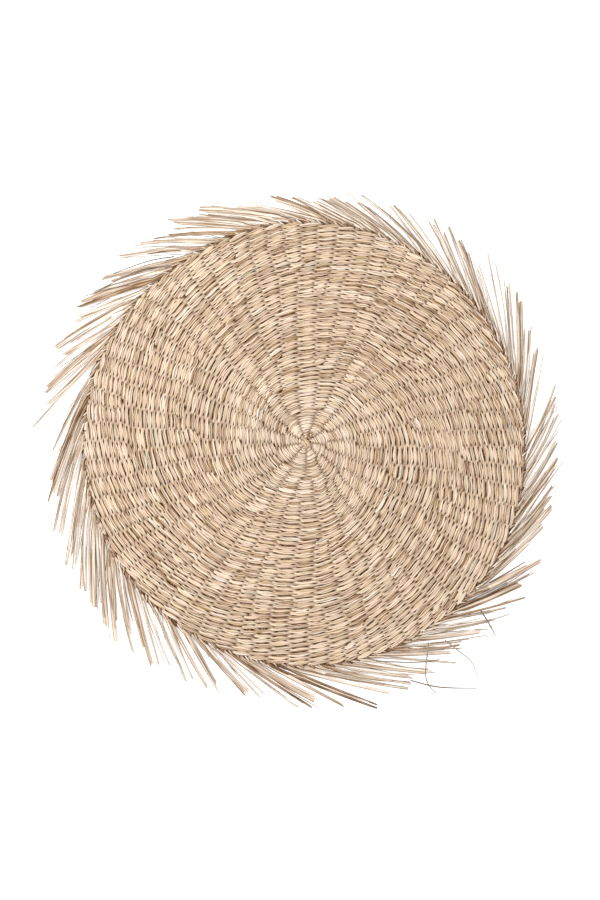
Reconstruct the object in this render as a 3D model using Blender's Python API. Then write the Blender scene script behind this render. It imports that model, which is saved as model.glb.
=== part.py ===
"""A round seagrass placemat, twined by hand from its centre outwards, with a swirling fringe.

The maker crosses the stakes at the hub, twines two wefts round them row by row, turns every stake end
sideways into a closing border, and cuts what is left of the ends to a fringe. Two solids stand for that:

    woven_disc       the flat field of stakes and twined rows, ribbed on top, flat underneath
    border_fringe    the closing border, with one strand for each stake end fused to it at its root

Metres, +Z up. The origin is the hub of the weave on the underside, where the mat rests.
Angles run anticlockwise from +X as the mat is seen from above.
"""

import math
from collections import namedtuple

import bpy

MM = 0.001

# Driving sizes
MAT_THICKNESS = 6.0 * MM
ROW_PITCH = 3.84 * MM
ROWS = 48
ROWS_PER_RIB = 2
RIB_DEPTH = 0.9 * MM
RIM_SOFTENING = 1.0 * MM
BORDER_WIDTH = 3.7 * MM
BORDER_HEIGHT = 5.5 * MM
BORDER_HUMP = 0.6 * MM
SEAM_GAP = 0.3 * MM
STAKES = 152
DISC_SEGMENTS = 76

# A fringe strand. Its root lies inside the border, and the rest sinks to the table and lies on it.
STRAND_WIDTH = 1.9 * MM
STRAND_THICKNESS = 1.1 * MM
ROOT_INSET = 1.9 * MM
ROOT_HEIGHT = 1.8 * MM
THINNEST = 0.45
BOW = 0.035
GATHER = 0.55

# The strand's four sections: where each is along the length, its share of the width, the height of its
# underside, and how far the cut slants back across half its width.
Section = namedtuple("Section", "along widening underside slant")
STRAND_SECTIONS = (
    Section(0.0, 0.8, ROOT_HEIGHT, 0.0),
    Section(0.38, 1.0, 0.0, 0.0),
    Section(0.75, 0.9, 0.0, 0.0),
    Section(1.0, 0.45, 0.0, 1.6),
)

# The border's section, from its foot up and over: the distance in from the outer edge, the share of the
# height, and whether the corner sinks between one pair of stakes and the next.
Corner = namedtuple("Corner", "inset height_share sinks")
BORDER_SECTION = (
    Corner(0.4 * MM, 0.0, False),
    Corner(0.0 * MM, 0.4, False),
    Corner(0.8 * MM, 0.85, True),
    Corner(BORDER_WIDTH / 2, 1.0, True),
    Corner(BORDER_WIDTH, 0.85, False),
    Corner(BORDER_WIDTH, 0.0, False),
)

# The border's outer edge, as uneven as the real one: its distance from the hub every 30 degrees
Station = namedtuple("Station", "degrees radius_mm")
OUTLINE = (
    Station(0, 187.0),
    Station(30, 186.9),
    Station(60, 188.2),
    Station(90, 190.0),
    Station(120, 188.2),
    Station(150, 190.6),
    Station(180, 190.4),
    Station(210, 190.6),
    Station(240, 190.9),
    Station(270, 191.7),
    Station(300, 190.5),
    Station(330, 191.5),
)

# The fringe lies in locks. Each row: where the lock's roots start, how far its strands sweep round
# before they end, how far their tips stand beyond the border, and how full its strands are.
Lock = namedtuple("Lock", "start_degrees sweep_degrees reach_mm fullness")
LOCKS = (
    Lock(0.0, 14.3, 25.0, 1.0),
    Lock(7.5, 14.0, 26.0, 0.7),
    Lock(12.0, 15.5, 28.5, 1.2),
    Lock(21.0, 15.0, 30.0, 0.4),
    Lock(27.5, 13.5, 22.0, 0.9),
    Lock(34.5, 13.7, 27.5, 1.1),
    Lock(41.5, 13.0, 28.5, 1.0),
    Lock(48.0, 14.0, 25.5, 0.7),
    Lock(56.0, 14.5, 22.5, 0.9),
    Lock(65.5, 12.7, 21.0, 1.0),
    Lock(72.5, 10.7, 17.5, 1.0),
    Lock(79.5, 10.0, 19.5, 0.9),
    Lock(86.0, 13.0, 20.5, 0.9),
    Lock(94.0, 14.2, 28.5, 1.2),
    Lock(107.0, 12.0, 24.0, 0.5),
    Lock(112.0, 12.2, 31.5, 1.0),
    Lock(122.5, 12.8, 28.5, 0.5),
    Lock(127.5, 12.0, 31.0, 1.3),
    Lock(141.0, 12.6, 31.0, 1.2),
    Lock(153.5, 14.0, 33.5, 0.6),
    Lock(160.0, 16.0, 24.0, 0.5),
    Lock(168.5, 16.2, 29.0, 0.8),
    Lock(175.5, 16.4, 30.0, 1.1),
    Lock(184.0, 15.0, 31.5, 1.0),
    Lock(195.5, 14.0, 32.5, 0.9),
    Lock(205.0, 13.2, 35.5, 1.3),
    Lock(212.5, 11.8, 32.5, 1.2),
    Lock(223.0, 11.0, 31.0, 0.5),
    Lock(232.0, 11.0, 31.0, 0.8),
    Lock(240.0, 12.6, 29.5, 1.1),
    Lock(248.0, 13.2, 28.0, 0.5),
    Lock(252.0, 14.2, 28.7, 1.3),
    Lock(260.5, 16.4, 35.0, 0.7),
    Lock(266.5, 16.2, 30.0, 1.0),
    Lock(275.5, 13.2, 28.0, 1.0),
    Lock(283.5, 11.5, 30.0, 0.5),
    Lock(289.5, 13.0, 28.5, 1.0),
    Lock(299.5, 12.0, 31.0, 1.0),
    Lock(311.5, 12.2, 28.0, 1.1),
    Lock(320.5, 12.6, 20.0, 0.8),
    Lock(327.0, 13.8, 25.5, 1.0),
    Lock(338.5, 11.6, 25.0, 1.0),
    Lock(344.5, 10.4, 23.5, 0.7),
    Lock(350.5, 10.8, 27.0, 0.9),
)

WEFT_STRAW = ("seagrass_weft", (0.604, 0.456, 0.319, 1.0), 0.62)
STAKE_STRAW = ("seagrass_stake_ends", (0.651, 0.491, 0.347, 1.0), 0.55)


def outline(degrees):
    """The border's outer radius in this direction, on a smooth closed curve through the stations."""
    step = 360 / len(OUTLINE)
    position = (degrees % 360) / step
    before = int(position)
    t = position - before
    r0, r1, r2, r3 = (OUTLINE[(before + k) % len(OUTLINE)].radius_mm for k in (-1, 0, 1, 2))
    bend = 2 * r0 - 5 * r1 + 4 * r2 - r3
    turn = 3 * (r1 - r2) + r3 - r0
    return 0.5 * (2 * r1 + t * (r2 - r0 + t * (bend + t * turn))) * MM


def at(degrees, radius, height=0.0):
    """A point given by its direction from the hub, its distance and its height."""
    angle = math.radians(degrees)
    return (radius * math.cos(angle), radius * math.sin(angle), height)


def material(name, colour, roughness):
    """A plain finish: straw is neither metal nor glossy."""
    made = bpy.data.materials.new(name)
    made.use_nodes = True
    shader = made.node_tree.nodes["Principled BSDF"]
    shader.inputs["Base Color"].default_value = colour
    shader.inputs["Roughness"].default_value = roughness
    shader.inputs["Metallic"].default_value = 0.0
    return made


def mesh_object(name, points, faces, finish):
    """One named object from its points and faces, with no transform of its own."""
    mesh = bpy.data.meshes.new(name)
    mesh.from_pydata(points, [], faces)
    mesh.validate()
    mesh.materials.append(finish)
    made = bpy.data.objects.new(name, mesh)
    bpy.context.scene.collection.objects.link(made)
    return made


def ring_faces(rings, segments):
    """Quads between rings of points that follow each other, each ring closed on itself."""
    faces = []
    for ring in range(rings - 1):
        inner, outer = ring * segments, (ring + 1) * segments
        for k in range(segments):
            after = (k + 1) % segments
            faces.append((inner + k, outer + k, outer + after, inner + after))
    return faces


def disc_profile():
    """(share of the radius, height) from the hub out over the ribs, down the rim and in to the base."""
    ribs = ROWS // ROWS_PER_RIB
    half_rib = 0.5 / ribs
    valley = MAT_THICKNESS - RIB_DEPTH
    profile = [(half_rib, MAT_THICKNESS)]
    for rib in range(1, ribs):
        profile.append((rib / ribs, valley))
        profile.append((rib / ribs + half_rib, MAT_THICKNESS))
    profile.append((1.0, valley))
    profile.append((1.0, RIM_SOFTENING))
    profile.append((1.0 - RIM_SOFTENING / (ROWS * ROW_PITCH), 0.0))
    return profile


def build_disc(finish):
    """The field of the weave: ribs raised on top, one for every two rows, and a flat underside."""
    turn = 360 / DISC_SEGMENTS
    points = []
    profile = disc_profile()
    for share, height in profile:
        for k in range(DISC_SEGMENTS):
            field = outline(k * turn) - BORDER_WIDTH - SEAM_GAP
            points.append(at(k * turn, share * field, height))
    faces = ring_faces(len(profile), DISC_SEGMENTS)
    base = (len(profile) - 1) * DISC_SEGMENTS
    faces.append(tuple(range(DISC_SEGMENTS)))
    faces.append(tuple(base + k for k in reversed(range(DISC_SEGMENTS))))
    disc = mesh_object("woven_disc", points, faces, finish)
    disc.data.shade_smooth()
    disc.data.set_sharp_from_angle(angle=math.radians(50))
    return disc


def build_border(finish):
    """The closing border: a narrow strip round the disc, humped where each pair of stakes turns aside."""
    turn = 360 / STAKES
    points = []
    for corner in BORDER_SECTION:
        for k in range(STAKES):
            sunk = BORDER_HUMP if corner.sinks and k % 2 else 0.0
            height = corner.height_share * BORDER_HEIGHT - sunk
            points.append(at(k * turn, outline(k * turn) - corner.inset, height))
    faces = [tuple(reversed(face)) for face in ring_faces(len(BORDER_SECTION), STAKES)]
    last = (len(BORDER_SECTION) - 1) * STAKES
    for k in range(STAKES):
        after = (k + 1) % STAKES
        faces.append((k, last + k, last + after, after))
    return mesh_object("border_fringe", points, faces, finish)


def lock_of(degrees):
    """The lock that a root at this direction lies in, and the direction of the lock's middle root."""
    index = max(i for i, lock in enumerate(LOCKS) if lock.start_degrees <= degrees)
    end = LOCKS[index + 1].start_degrees if index + 1 < len(LOCKS) else 360 + LOCKS[0].start_degrees
    return LOCKS[index], (LOCKS[index].start_degrees + end) / 2


def strand_points(stake):
    """The corners of one strand, four to a section, from its root to its tip."""
    root_degrees = stake * 360 / STAKES
    lock, middle = lock_of(root_degrees)
    tip_degrees = middle + lock.sweep_degrees + (root_degrees - middle) * GATHER
    root_x, root_y, _ = at(root_degrees, outline(root_degrees) - ROOT_INSET)
    tip_x, tip_y, _ = at(tip_degrees, outline(tip_degrees) + lock.reach_mm * MM)
    length = math.hypot(tip_x - root_x, tip_y - root_y)
    along_x, along_y = (tip_x - root_x) / length, (tip_y - root_y) / length
    width = STRAND_WIDTH * (THINNEST + (1 - THINNEST) * lock.fullness)
    points = []
    for section in STRAND_SECTIONS:
        half = width * section.widening / 2
        bow = BOW * length * math.sin(math.pi * section.along)
        top = section.underside + STRAND_THICKNESS
        for side, height in ((-1, section.underside), (1, section.underside), (1, top), (-1, top)):
            forward = section.along * length - max(side, 0) * section.slant * half
            sideways = side * half - bow
            x = root_x + along_x * forward - along_y * sideways
            y = root_y + along_y * forward + along_x * sideways
            points.append((x, y, height))
    return points


def build_strands(finish):
    """All the strands as one helper mesh of separate closed shells, for the union with the border."""
    points, faces = [], []
    for stake in range(STAKES):
        first = len(points)
        points.extend(strand_points(stake))
        last = len(points) - 4
        for near in range(first, last, 4):
            for side in range(4):
                after = (side + 1) % 4
                faces.append((near + side, near + after, near + 4 + after, near + 4 + side))
        faces.append((first + 3, first + 2, first + 1, first))
        faces.append((last, last + 1, last + 2, last + 3))
    strands = mesh_object("fringe_strands_helper", points, faces, finish)
    strands.hide_render = True
    strands.display_type = "WIRE"
    return strands


def build_mat():
    for old in list(bpy.data.objects):
        bpy.data.objects.remove(old, do_unlink=True)
    weft_straw = material(*WEFT_STRAW)
    stake_straw = material(*STAKE_STRAW)
    build_disc(weft_straw)
    border = build_border(stake_straw)
    union = border.modifiers.new("strands fused at their roots", "BOOLEAN")
    union.operation = "UNION"
    union.solver = "EXACT"
    union.object = build_strands(stake_straw)


build_mat()
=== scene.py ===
# %% [markdown]
# # A round seagrass placemat, twined strand by strand
#
# The mat is made the way a basket's base is made. Stakes run outwards from a hub like spokes. Two wefts
# travel round them in a spiral and swap places between every two stakes, one passing over a stake while the
# other passes under it. Each weft is two leaves side by side. At the rim the stakes are turned sideways, and
# their ends are left as a fringe.
#
# This script makes the same moves: it lays the stakes, works out the route of the wefts past them, lets
# Geometry Nodes turn each route into a strand, and then adds the border, the fringe and the loose ends.

# %% Load the solid model that everything is built around
import math
from collections import namedtuple
from functools import partial

import bpy
import numpy as np
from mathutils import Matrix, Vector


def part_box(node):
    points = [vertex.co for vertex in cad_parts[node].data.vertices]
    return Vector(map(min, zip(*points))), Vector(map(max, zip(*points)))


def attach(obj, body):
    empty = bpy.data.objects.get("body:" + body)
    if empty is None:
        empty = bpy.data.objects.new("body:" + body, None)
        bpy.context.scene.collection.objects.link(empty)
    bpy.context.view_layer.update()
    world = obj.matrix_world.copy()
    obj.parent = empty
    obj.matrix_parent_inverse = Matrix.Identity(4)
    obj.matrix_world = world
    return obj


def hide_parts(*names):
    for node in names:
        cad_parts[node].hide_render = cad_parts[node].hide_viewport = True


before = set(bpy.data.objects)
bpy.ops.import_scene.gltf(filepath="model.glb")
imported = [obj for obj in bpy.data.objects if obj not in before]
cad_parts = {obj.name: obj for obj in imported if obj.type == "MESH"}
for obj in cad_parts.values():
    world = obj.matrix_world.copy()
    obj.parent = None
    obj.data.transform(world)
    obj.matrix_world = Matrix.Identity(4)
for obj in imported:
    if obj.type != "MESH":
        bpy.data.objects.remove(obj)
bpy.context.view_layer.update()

# %% [markdown]
# ## Sizes
#
# The driving sizes of a woven thing are few: how thick the mat is, how many rows it has, and how far the rim
# stands from the hub. The rim isn't a true circle, because hands pulled the rows tight, so its radius is read
# from the solid model for each direction. Everything else follows from these.

# %% Work out the driving sizes from the frame
MM = 0.001
STAKE_PAIRS = 76
low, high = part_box("woven_disc")
MAT_THICKNESS = high.z - low.z
MIDDLE = MAT_THICKNESS / 2

corners = np.array([v.co[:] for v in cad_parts["woven_disc"].data.vertices])
corner_radius = np.hypot(corners[:, 0], corners[:, 1])
corner_turn = np.arctan2(corners[:, 1], corners[:, 0]) / (2 * math.pi) % 1
rim_radius = np.zeros(STAKE_PAIRS)
np.maximum.at(rim_radius, np.round(corner_turn * STAKE_PAIRS).astype(int) % STAKE_PAIRS, corner_radius)
RIM_MEAN = rim_radius.mean()

# The rows are tightest round the hub and close up again in the last rounds: (radius, pitch) in millimetres.
PITCH_AT = (
    (0, 2.42), (20, 2.5), (32, 2.88), (46, 3.18), (58, 3.36),
    (72, 3.59), (85, 3.7), (168, 3.7), (178, 3.3),
)
FULL_PITCH = 3.7 * MM
PAST_THE_RIM = 1.04
radii = np.linspace(0, RIM_MEAN * PAST_THE_RIM, 400)
pitches = np.interp(radii / MM, *zip(*PITCH_AT)) * MM
rows_there = np.concatenate([[0], np.cumsum(np.diff(radii) / (pitches[1:] + pitches[:-1]) * 2)])
ROWS = round(float(np.interp(RIM_MEAN, radii, rows_there)))
rows_there *= ROWS / np.interp(RIM_MEAN, radii, rows_there)


def row_radius(rows):
    """How far from the hub a row lies on a mat with a true round rim."""
    return np.interp(rows, rows_there, radii)


def row_pitch(rows):
    """How far apart the rows are at this row."""
    return np.interp(row_radius(rows), radii, pitches)


def rim(turns):
    """The woven field's radius in this direction, given in turns anticlockwise from +X."""
    stations = np.arange(STAKE_PAIRS + 1) / STAKE_PAIRS
    return np.interp(np.mod(turns, 1), stations, np.append(rim_radius, rim_radius[0]))


print(f"thickness {MAT_THICKNESS / MM:.1f} mm, mean rim radius {RIM_MEAN / MM:.1f} mm, {ROWS} rows")

# %% [markdown]
# ## One helper for nodes, one for colours
#
# Materials and Geometry Nodes are both trees of nodes. A single small function adds a node, sets it up and
# links it, which keeps each tree readable. Nodes that calculate, with numbers or with vectors, fill most of
# the trees, so a shorthand hands them their values in order and gives back the result. Colours are written
# as the hex values that a paint program shows. Those are sRGB, and Blender's sockets want linear light, so
# one function converts them.

# %% Helpers for node trees and colours
def add(tree, kind, values=None, **settings):
    """A new node of this kind. values holds a number or a link for each socket, by name or by position."""
    node = tree.nodes.new(kind)
    for name, setting in settings.items():
        setattr(node, name, setting)
    for key, value in (values or {}).items():
        if isinstance(value, bpy.types.NodeSocket):
            tree.links.new(value, node.inputs[key])
        else:
            node.inputs[key].default_value = value
    return node


def calc(tree, operation, *values, kind="ShaderNodeMath"):
    """The result of a node of a calculating kind, for these values in the order of its inputs."""
    return add(tree, kind, dict(enumerate(values)), operation=operation).outputs[0]


def linear(hex_colour):
    """An sRGB hex colour such as "c8a070" as linear RGBA."""
    channels = [int(hex_colour[i : i + 2], 16) / 255 for i in (0, 2, 4)]
    return [c / 12.92 if c <= 0.04045 else ((c + 0.055) / 1.055) ** 2.4 for c in channels] + [1.0]


print("straw c8a070 in linear light:", [round(channel, 3) for channel in linear("c8a070")])

# %% [markdown]
# ## The tones of dried seagrass
#
# The strands are split and twisted leaves of a sedge, sold as seagrass. Dried, its colour runs from brown
# through straw and pinkish beige to cream and grey-green, because each leaf dries in its own way. One random
# colour for each leaf would look like confetti. So a leaf carries a single number, its `tone`, and a row of
# colours turns tones into the few colours that such a bundle really holds.

# %% Tones, from the brown leaves to the pale ones
LEAF_TONES = (
    (0.00, "8c6b47"),
    (0.05, "ad906c"),
    (0.14, "bca180"),
    (0.38, "c2ab8b"),
    (0.45, "cbb29c"),
    (0.52, "cab395"),
    (0.60, "d3bba7"),
    (0.68, "d2c1a7"),
    (0.76, "d9c5b6"),
    (0.86, "d8c9b3"),
    (0.95, "ded3c7"),
    (1.00, "bcb49c"),
)
# The split ends have dried in the open and are paler, but for some that have gone brown.
SPLIT_TONES = (
    (0.00, "70543a"),
    (0.07, "ae8f72"),
    (0.16, "c5ae96"),
    (0.34, "cfbca8"),
    (0.50, "d6c7b5"),
    (0.66, "ddcebd"),
    (0.86, "eae0d6"),
    (1.00, "d1c6b5"),
)
# Hairs are split off the leaf's rim, which dries to a dull grey-brown.
HAIR_TONES = (
    (0.00, "6f6051"),
    (0.50, "8d7e6f"),
    (1.00, "b0a192"),
)
# A warm brown that multiplies the leaf's colour: painted shade deep between two strands and on their sides,
# and the furrows of the veins.
SHADE_AND_VEIN_TINT = "865f1e"
print("tones for woven leaves, split leaves and hairs:", *map(len, (LEAF_TONES, SPLIT_TONES, HAIR_TONES)))

# %% [markdown]
# ## The finish of dried seagrass
#
# A dried leaf is matt with a faint waxy sheen and streaked along its length by its veins. Where it dips
# between its neighbours it is given painted shade, a dull brown. It could be painted with an image, but that
# would slide or stretch on thousands of stitches. So the finish reads numbers that the geometry carries:
# `tone`, and `fibre`, a place in metres along the strand and, across it, on a section of radius 1. Z of that
# section points down, so the top of a strand is at -1. The veins are noise stretched along `fibre`. How much
# painted shade a spot gets follows from its height in the mat and its place on the section. It works on the
# top and on the underside alike.

# %% From tone to colour
BLOTCH_LENGTH = 1 / 60


def tone_colour(tree, fibre, tones):
    """The colour of the leaf's tone, which blotches shift a little along the leaf."""
    tone = add(tree, "ShaderNodeAttribute", attribute_name="tone").outputs["Fac"]
    stretch = {"Vector": fibre, "Scale": (1 / BLOTCH_LENGTH, 0.6, 0.6)}
    along = add(tree, "ShaderNodeMapping", stretch).outputs[0]
    blotch = add(tree, "ShaderNodeTexNoise", {"Vector": along, "Scale": 1.0, "Detail": 2.0}).outputs["Fac"]
    drift = add(tree, "ShaderNodeMapRange", {0: blotch, 1: 0.3, 2: 0.7, 3: -0.07, 4: 0.07}).outputs[0]
    ramp = add(tree, "ShaderNodeValToRGB", {"Fac": calc(tree, "ADD", tone, drift)})
    ramp.color_ramp.elements.remove(ramp.color_ramp.elements[0])
    for place, colour in tones:
        stop = ramp.color_ramp.elements.new(place) if place else ramp.color_ramp.elements[0]
        stop.position = place
        stop.color = linear(colour)
    return ramp.outputs[0]


print(f"blotches of tone are about {BLOTCH_LENGTH / MM:.0f} mm long")

# %% One function for every seagrass finish
VEIN_LENGTH = 1 / 30


def seagrass(name, tones, streak_depth, veins_across, painted_shade_floor, edge_shade_depth, side_shade, roughness):
    """Dried seagrass leaf: matt, streaked along its length, with fine ribs that catch the light. Painted
    brown shade darkens it low in the weave, on its sides and, where asked, along one edge.
    """
    made = bpy.data.materials.new(name)
    made.use_nodes = True
    tree = made.node_tree
    work = partial(calc, tree)
    shader = tree.nodes["Principled BSDF"]
    fibre = add(tree, "ShaderNodeAttribute", attribute_name="fibre").outputs["Vector"]
    section = add(tree, "ShaderNodeSeparateXYZ", {"Vector": fibre}).outputs
    place = add(tree, "ShaderNodeTexCoord").outputs["Object"]
    height = add(tree, "ShaderNodeSeparateXYZ", {"Vector": place}).outputs["Z"]
    # The veins of a leaf are 0.3 mm apart. They are drawn about 1 mm apart, or they would not show.
    stretch = {"Vector": fibre, "Scale": (1 / VEIN_LENGTH, veins_across, veins_across)}
    veins = add(tree, "ShaderNodeMapping", stretch).outputs[0]
    vein = add(tree, "ShaderNodeTexNoise", {"Vector": veins, "Scale": 1.0, "Detail": 4.0}).outputs["Fac"]
    # Each slope: what it reads, where it starts and ends, and its value at either end.
    slopes = {
        "furrow": (vein, 0.42, 0.49, 1.0 - streak_depth, 1.0),
        "ridge": (vein, 0.5, 0.6, 0.94, 1.1),
        # Painted shade: the next three slopes darken one edge of a split leaf, the places low in the weave
        # and the sides of a strand.
        "painted edge shade": (section["Y"], 0.3, 0.6, 1.0, 1.0 - edge_shade_depth),
        "above the painted shade": (height, painted_shade_floor, painted_shade_floor + 2.0 * MM, 0.0, 1.0),
        "face": (section["Z"], -0.1, -0.6, side_shade, 1.0),
        # Near the table the underside is kept free of painted shade.
        "near the table": (height, 4.2 * MM, 1.6 * MM, 0.0, 1.0),
        "back": (section["Z"], 0.1, 0.6, side_shade, 1.0),
    }
    on = {
        label: add(tree, "ShaderNodeMapRange", dict(enumerate(values))).outputs[0]
        for label, values in slopes.items()
    }
    topside = work("MULTIPLY", on["above the painted shade"], work("MULTIPLY", on["face"], on["painted edge shade"]))
    underside = work("MULTIPLY", on["near the table"], on["back"])
    free_of_painted_shade = work("MAXIMUM", topside, underside)
    # Painted shade: where the mask says shade, and in the furrows of the veins, the brown tint shows.
    tint = add(tree, "ShaderNodeMix", {0: work("MULTIPLY", free_of_painted_shade, on["furrow"])}, data_type="RGBA")
    tint.inputs[6].default_value = linear(SHADE_AND_VEIN_TINT)
    tint.inputs[7].default_value = linear("ffffff")
    leaf = add(
        tree,
        "ShaderNodeVectorMath",
        {0: tone_colour(tree, fibre, tones), "Scale": on["ridge"]},
        operation="SCALE",
    ).outputs[0]
    colour = work("MULTIPLY", leaf, tint.outputs[2], kind="ShaderNodeVectorMath")
    tree.links.new(colour, shader.inputs["Base Color"])
    bump = add(tree, "ShaderNodeBump", {"Height": vein, "Strength": 0.8, "Distance": 0.6 * MM})
    tree.links.new(bump.outputs[0], shader.inputs["Normal"])
    shader.inputs["Roughness"].default_value = roughness
    shader.inputs["IOR"].default_value = 1.45
    # The sheen follows the same mask, so the places with painted shade don't shine.
    tree.links.new(work("MULTIPLY", free_of_painted_shade, 0.22), shader.inputs["Specular IOR Level"])
    return made


print(f"a vein shows for about {VEIN_LENGTH / MM:.0f} mm along the leaf")

# %% [markdown]
# ## Three finishes
#
# The same leaf looks different by what was done to it. Twisted into the weave it gets deep brown painted
# shade in the folds between the strands. Split and left hanging it gets painted shade along one edge and has
# nothing that it could dip under, so its painted shade starts below the table. A hair is too thin for either.

# %% Twined, split and hair
twined_seagrass = seagrass(
    "dried_seagrass_twined",
    LEAF_TONES,
    streak_depth=0.8,
    veins_across=2.0,
    painted_shade_floor=2.9 * MM,
    edge_shade_depth=0.0,
    side_shade=0.3,
    roughness=0.65,
)
split_seagrass = seagrass(
    "dried_seagrass_split_leaf",
    SPLIT_TONES,
    streak_depth=0.75,
    veins_across=2.8,
    painted_shade_floor=-1.0 * MM,
    edge_shade_depth=0.88,
    side_shade=0.55,
    roughness=0.6,
)
hair_seagrass = seagrass(
    "dried_seagrass_hair",
    HAIR_TONES,
    streak_depth=0.3,
    veins_across=2.4,
    painted_shade_floor=-2.0 * MM,
    edge_shade_depth=0.0,
    side_shade=1.0,
    roughness=0.7,
)
print("nodes in each finish:", len(twined_seagrass.node_tree.nodes))

# %% [markdown]
# ## Laying the stakes
#
# A stitch can only be so long before the row goes slack. So a maker starts with a few stakes crossed at the
# hub and lays in a new one wherever the gap between two has grown too wide. The neighbours then move apart a
# little, row by row, until the gaps are even again. The loop below does exactly that. It is better than even
# spacing, because it gives the rays of the real mat, which bend and branch.

# %% Lay in stakes as the mat grows
HUB_DIRECTIONS = (15, 55, 87, 128, 171, 209, 248, 288, 335)
HUB_STAKES = len(HUB_DIRECTIONS)
FIRST_ROW = 1
# How many stakes lie side by side round the mat: (radius in millimetres, count).
STAKES_AT = (
    (12, 9), (24, 14), (37, 20), (51, 27), (64, 30), (78, 35),
    (91, 40), (105, 44), (118, 51), (145, 62), (172, 76),
)
EASE = 0.14
HUB_EASE = 0.012
rng = np.random.default_rng(7)


def stake_count(radius):
    """How many stakes lie side by side this far from the hub."""
    return int(round(np.interp(radius / MM, *zip(*STAKES_AT))))


def stitch_length(row):
    """How long a stitch is in this row."""
    return 2 * math.pi * row_radius(row) / stake_count(row_radius(row))


def lay_stakes():
    """Each stake, in order of birth: its first row, and its direction in turns at each row from there."""
    stakes = [(FIRST_ROW, [degrees / 360]) for degrees in HUB_DIRECTIONS]
    order = list(range(HUB_STAKES))
    for row in range(FIRST_ROW + 1, ROWS + 1):
        now = [stakes[i][1][-1] for i in order]
        while len(order) < stake_count(row_radius(row)):
            gaps = np.diff(now + [now[0] + 1])
            widest = int(np.argmax(gaps * rng.uniform(0.8, 1.0, len(gaps))))
            stakes.append((row, []))
            order.insert(widest + 1, len(stakes) - 1)
            now.insert(widest + 1, now[widest] + gaps[widest] / 2)
        ease = np.where(np.array(order) < HUB_STAKES, HUB_EASE, EASE)
        for _ in range(3):
            before, after = np.roll(now, 1), np.roll(now, -1)
            before[0] -= 1
            after[-1] += 1
            now = np.array(now) + ease * ((before + after) / 2 - now)
        for i, turn in zip(order, now):
            stakes[i][1].append(turn)
    return stakes


stakes = lay_stakes()
print(len(stakes), "stakes at the rim;", sum(len(t) for _, t in stakes), "crossings with the wefts")

# %% [markdown]
# ## From row and direction to a place on the mat
#
# A place on the mat is given by its row, counted from the hub, and its direction. The rim is uneven, so the
# rows stretch to meet it, the more the further out they are. The real rows also wander by a millimetre where
# the maker's hand pulled harder. A few long waves added together give that wander, and because every piece
# goes through the same function, stakes and wefts wander together.

# %% Turn row and direction into a place
END_TURN = ROWS - 0.5
CLOSING_TURNS = 0.16
WANDER = 0.9 * MM
WANDER_WAVES = 9
wave_rng = np.random.default_rng(11)
wave_way = wave_rng.uniform(0, 2 * math.pi, WANDER_WAVES)
wave_number = 2 * math.pi / wave_rng.uniform(45 * MM, 130 * MM, WANDER_WAVES)
wave_start = wave_rng.uniform(0, 2 * math.pi, (2, WANDER_WAVES))
wave_x, wave_y = wave_number * np.cos(wave_way), wave_number * np.sin(wave_way)


def closing(turns):
    """How many rows the last round moves out in this direction, so that the spiral ends in a full circle."""
    past_the_end = np.mod(turns - END_TURN, 1)
    ease = np.clip(past_the_end / CLOSING_TURNS, 0, 1)
    return (1 - past_the_end) * ease * ease * (3 - 2 * ease)


def on_mat(rows, turns):
    """x and y of a place on the mat."""
    rows, turns = np.asarray(rows, float), np.asarray(turns, float)
    share = np.clip(rows / ROWS, 0, 1)
    stretch = 1 + (rim(turns) / RIM_MEAN - 1) * share**2
    radius = row_radius(rows + closing(turns) * share**4) * stretch
    x, y = radius * np.cos(2 * math.pi * turns), radius * np.sin(2 * math.pi * turns)
    phase = x[..., None] * wave_x + y[..., None] * wave_y
    free = WANDER * np.sqrt(2 / WANDER_WAVES) * np.clip(1 - (rows / ROWS) ** 6, 0.15, 1)
    aside_x, aside_y = (free * np.sin(phase + start).sum(-1) for start in wave_start)
    return x + aside_x, y + aside_y


print("row 20 towards +X lies at", [round(float(v) / MM, 1) for v in on_mat(20, 0.0)], "mm")

# %% [markdown]
# ## Rails
#
# Geometry Nodes need something to follow. A rail is a chain of points joined by edges, with one number of
# each kind at each point: how wide and how thick the strand is there, how far it is folded along its middle,
# rolled about its length and cut obliquely, which tone its leaf has, and a shift that keeps the patterns of
# two leaves apart. The wefts' rails also say how many stakes they have passed and how much room there is.
# A number that a rail leaves out is 0.

# %% Make a rail object from courses
RAIL_NUMBERS = "half_width half_thickness fold roll slant tone shift passing room".split()
print("numbers that a rail can carry:", len(RAIL_NUMBERS))


def rails(name, courses):
    """One mesh of chains. Each course is a dict with "points" and any of the numbers, one or one a point."""
    counts = [len(course["points"]) for course in courses]
    starts = np.cumsum([0] + counts[:-1])
    edges = [(s + i, s + i + 1) for s, n in zip(starts, counts) for i in range(n - 1)]
    mesh = bpy.data.meshes.new(name)
    mesh.from_pydata(np.concatenate([course["points"] for course in courses]).tolist(), edges, [])
    for label in RAIL_NUMBERS:
        if any(label in course for course in courses):
            values = [np.broadcast_to(course.get(label, 0.0), n) for course, n in zip(courses, counts)]
            numbers = mesh.attributes.new(label, "FLOAT", "POINT").data
            numbers.foreach_set("value", np.concatenate(values).astype(np.float32))
    made = bpy.data.objects.new(name, mesh)
    bpy.context.scene.collection.objects.link(made)
    print(f"{name}: {len(courses)} chains, {sum(counts)} points")
    return made


# %% [markdown]
# ## Sweeping a strand along its rail
#
# A leaf or a twisted strand is one section swept along a line. Blender's Curve to Mesh does that, but it can
# only scale the section evenly, and a strand is squeezed flat where it passes over a stake and pinched where
# it passes its partner. So the tree below sweeps a circle of radius 1 and then moves every point to where the
# rail's own numbers want it. The same tree serves the stakes, the wefts and the fringe.

# %% What every Geometry Nodes tree starts and ends with
STRAND_SIZES = (("Sides", "Int", 6), ("Material", "Material", None))
print("inputs of every strand:", [label for label, _, _ in STRAND_SIZES])


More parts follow.
